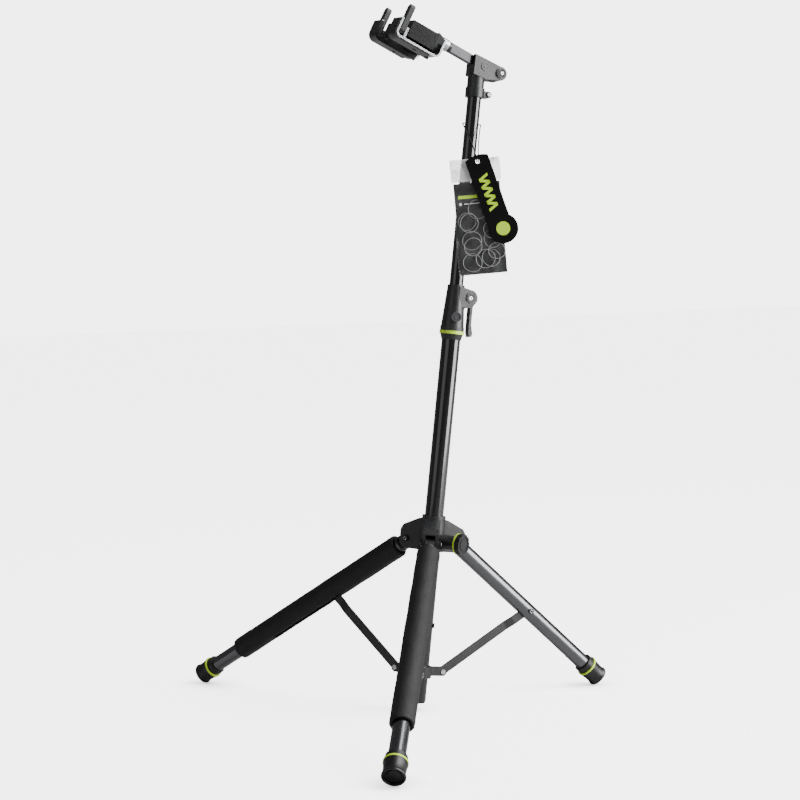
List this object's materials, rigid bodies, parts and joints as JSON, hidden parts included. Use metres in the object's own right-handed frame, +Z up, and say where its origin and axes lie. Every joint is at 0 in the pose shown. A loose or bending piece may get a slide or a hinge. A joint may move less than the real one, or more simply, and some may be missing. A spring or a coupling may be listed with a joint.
{
  "type": "guitar stand",
  "caption": "Folding tripod stand with padded front legs, height-adjustable mast and a tilted neck yoke with swing-in latches.",
  "frame": {"origin": "on the floor, under the middle of the box around the spread stand", "axes": "+Z up, -Y the side the yoke opens to, +Y the rear leg, X across the two padded legs"},
  "size_m": [0.8026, 0.5958, 1.1217],
  "materials": {
    "casting": "fine texture",
    "gloss_tube": "gloss black",
    "leg_tube": "satin black",
    "rubber": "matt",
    "foam": "matt foam",
    "accent_ring": "satin lime",
    "brace_steel": "satin grey",
    "black_plastic": "satin",
    "bright_steel": "bright plated",
    "badge": "satin",
    "yoke_metal": "satin",
    "cord": "braided",
    "tag_card": "matt printed",
    "bag_film": "clear film",
    "ring_rubber": "satin"
  },
  "bodies": {
    "hub": {"leg_hub": "casting", "hub_bush": "black_plastic", "hub_bolts": "bright_steel", "hub_nuts": "bright_steel"},
    "knob": {"lock_knob": "black_plastic", "knob_ring": "accent_ring", "knob_screw": "bright_steel"},
    "rear_leg": {"leg_tube_rear": "leg_tube", "leg_eye_rear": "casting", "foot_rear": "rubber", "foot_ring_rear": "accent_ring", "brace_bolt_rear": "bright_steel"},
    "rear_brace": {"brace_rear": "brace_steel"},
    "left_leg": {"leg_tube_left": "leg_tube", "leg_eye_left": "casting", "foot_left": "rubber", "foot_ring_left": "accent_ring", "brace_bolt_left": "bright_steel", "foam_left": "foam"},
    "left_brace": {"brace_left": "brace_steel"},
    "right_leg": {"leg_tube_right": "leg_tube", "leg_eye_right": "casting", "foot_right": "rubber", "foot_ring_right": "accent_ring", "brace_bolt_right": "bright_steel", "foam_right": "foam"},
    "right_brace": {"brace_right": "brace_steel"},
    "mast": {"mast_tube": "gloss_tube", "mast_plug": "black_plastic", "brace_collar": "casting", "collar_pins": "bright_steel", "stop_screw": "black_plastic", "clutch_housing": "casting", "clutch_cone": "black_plastic", "clutch_ring": "accent_ring", "clutch_brake": "bright_steel", "clutch_axle": "casting", "clutch_badge": "badge"},
    "trigger": {"clutch_trigger": "casting"},
    "upper": {"upper_tube": "gloss_tube", "tube_bush": "black_plastic", "head_bracket": "casting", "clamp_screw": "bright_steel", "head_bolt": "bright_steel", "head_badge": "badge", "hang_cord": "cord", "hang_tag": "tag_card", "ring_bag": "bag_film", "bag_card": "tag_card", "spare_rings": "ring_rubber"},
    "arm": {"yoke_arm": "casting"},
    "yoke": {"yoke_frame": "yoke_metal", "yoke_pads": "rubber", "latch_pins": "bright_steel"},
    "left_block": {"press_block_left": "rubber"},
    "right_block": {"press_block_right": "rubber"},
    "left_latch": {"latch_left": "black_plastic"},
    "right_latch": {"latch_right": "black_plastic"}
  },
  "joints": [
    {"name": "rear_leg_fold", "type": "hinge", "parent": "hub", "child": "rear_leg", "pos_m": [0, 0.02045, 0.26315], "axis": [-1, 0, 0], "range_deg": [0, 49]},
    {"name": "rear_brace_fold", "type": "hinge", "parent": "rear_leg", "child": "rear_brace", "pos_m": [0, 0.15104, 0.13923], "axis": [-1, 0, 0], "range_deg": [-98.2, 0.2]},
    {"name": "left_leg_fold", "type": "hinge", "parent": "hub", "child": "left_leg", "pos_m": [-0.03637, -0.04194, 0.27192], "axis": [0.5, -0.8576, 0.1205], "range_deg": [-0.2, 49.2]},
    {"name": "left_brace_fold", "type": "hinge", "parent": "left_leg", "child": "left_brace", "pos_m": [-0.1633, -0.12906, 0.17859], "axis": [0.5, -0.8576, 0.1205], "range_deg": [-98.2, 0.2]},
    {"name": "right_leg_fold", "type": "hinge", "parent": "hub", "child": "right_leg", "pos_m": [0.03637, -0.04194, 0.27192], "axis": [0.5, 0.8576, -0.1205], "range_deg": [-0.2, 49.2]},
    {"name": "right_brace_fold", "type": "hinge", "parent": "right_leg", "child": "right_brace", "pos_m": [0.1633, -0.12906, 0.17859], "axis": [0.5, 0.8576, -0.1205], "range_deg": [-98.2, 0.2]},
    {"name": "mast_foot_pivot", "type": "hinge", "parent": "rear_brace", "child": "mast", "pos_m": [-0.003, -0.00865, 0.0561], "axis": [-1, 0, 0], "range_deg": [-0.2, 49.2]},
    {"name": "lock_knob_turn", "type": "hinge", "parent": "hub", "child": "knob", "pos_m": [0.0433, 0.00389, 0.2675], "axis": [0.866, 0.4951, -0.0696], "range_deg": [0, 270]},
    {"name": "mast_height", "type": "slide", "parent": "mast", "child": "upper", "axis": [0, 0.1392, 0.9903], "range_m": [-0.24, 0.02]},
    {"name": "clutch_squeeze", "type": "hinge", "parent": "mast", "child": "trigger", "pos_m": [0, 0.0535, 0.65638], "axis": [-1, 0, 0], "range_deg": [0, 7], "stiffness_Nm_per_rad": 1, "springref_deg": -11.46},
    {"name": "arm_fold", "type": "hinge", "parent": "upper", "child": "arm", "pos_m": [0, 0.12017, 1.01439], "axis": [-1, 0, 0], "range_deg": [0, 110]},
    {"name": "yoke_swivel", "type": "hinge", "parent": "arm", "child": "yoke", "pos_m": [0, 0.03209, 1.05735], "axis": [0, -0.8988, 0.4384], "range_deg": [-9, 21]},
    {"name": "left_latch_swing", "type": "hinge", "parent": "yoke", "child": "left_latch", "pos_m": [-0.04936, -0.06474, 1.08238], "axis": [0, 0.8988, -0.4384], "range_deg": [0, 78]},
    {"name": "left_block_press", "type": "slide", "parent": "yoke", "child": "left_block", "axis": [-0.1045, -0.436, -0.8939], "range_m": [-0.0001, 0.0041]},
    {"name": "right_latch_swing", "type": "hinge", "parent": "yoke", "child": "right_latch", "pos_m": [0.04413, -0.06905, 1.07355], "axis": [0, -0.8988, 0.4384], "range_deg": [0, 78]},
    {"name": "right_block_press", "type": "slide", "parent": "yoke", "child": "right_block", "axis": [-0.1045, -0.436, -0.8939], "range_m": [-0.0001, 0.0041]}
  ],
  "couplings": [
    {"joint": "rear_brace_fold", "follows": "rear_leg_fold", "ratio": -2},
    {"joint": "left_brace_fold", "follows": "rear_leg_fold", "ratio": -2},
    {"joint": "left_leg_fold", "follows": "rear_leg_fold", "ratio": 1},
    {"joint": "right_brace_fold", "follows": "rear_leg_fold", "ratio": -2},
    {"joint": "right_leg_fold", "follows": "rear_leg_fold", "ratio": 1},
    {"joint": "mast_foot_pivot", "follows": "rear_leg_fold", "ratio": 1},
    {"joint": "left_block_press", "follows": "left_latch_swing", "m_per_rad": 0.002938},
    {"joint": "right_block_press", "follows": "right_latch_swing", "m_per_rad": 0.002938}
  ]
}
